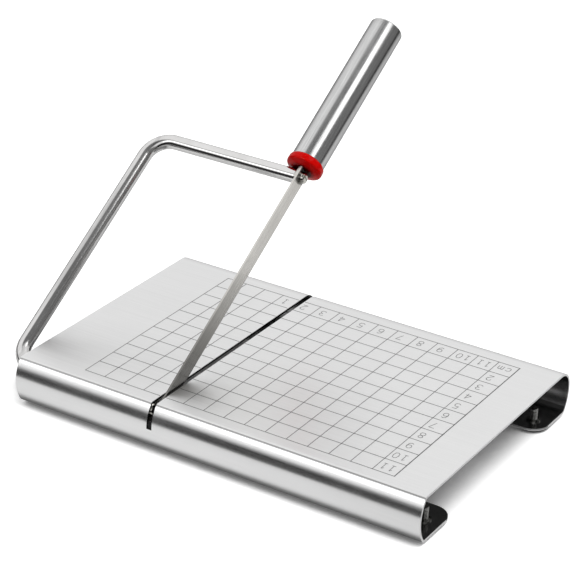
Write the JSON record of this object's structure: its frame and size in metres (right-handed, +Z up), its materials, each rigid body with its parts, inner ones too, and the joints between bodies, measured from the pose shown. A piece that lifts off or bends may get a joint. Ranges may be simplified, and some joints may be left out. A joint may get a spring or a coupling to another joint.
{
  "type": "cheese slicer",
  "caption": "Board cheese slicer: a folded steel board with an etched grid, and a hinged rod bow with a strip blade, red collar and tube handle.",
  "frame": {"origin": "middle of the board's cutting face", "axes": "+X along the board's long side, +Y from the hinge side to the far side, +Z up out of the cutting face"},
  "size_m": [0.2082, 0.1908, 0.1398],
  "materials": {
    "board_steel": "brushed along the board",
    "clip_steel": "plain rolled strip",
    "sleeve_nylon": "matt natural nylon",
    "fastener_steel": "bright turned steel",
    "foot_rubber": "matt black rubber",
    "rod_chrome": "mirror polished",
    "blade_steel": "satin, ground along its length",
    "collar_plastic": "glossy red",
    "core_plastic": "matt moulded",
    "handle_steel": "satin, brushed along the tube"
  },
  "bodies": {
    "board": {"board_sheet": "board_steel", "hinge_clip_left": "clip_steel", "hinge_clip_right": "clip_steel", "hinge_sleeve_left": "sleeve_nylon", "hinge_sleeve_right": "sleeve_nylon", "thrust_washer": "sleeve_nylon", "foot_pad_near_left": "foot_rubber", "foot_pad_near_right": "foot_rubber", "foot_pad_far_left": "foot_rubber", "foot_pad_far_right": "foot_rubber", "foot_studs": "fastener_steel", "foot_push_nuts": "fastener_steel"},
    "bow": {"bow_rod": "rod_chrome", "axle_ring": "fastener_steel", "blade": "blade_steel", "blade_screw_lower": "fastener_steel", "blade_washer_lower": "fastener_steel", "blade_screw_upper": "fastener_steel", "blade_washer_upper": "fastener_steel", "handle_tang": "blade_steel", "handle_collar": "collar_plastic", "handle_core": "core_plastic", "handle_pin": "fastener_steel", "handle_tube": "handle_steel"}
  },
  "joints": [
    {"name": "bow_hinge", "type": "hinge", "parent": "board", "child": "bow", "pos_m": [-0.049, -0.0585, -0.00683], "axis": [1, 0, 0], "range_deg": [-29, 138]}
  ]
}
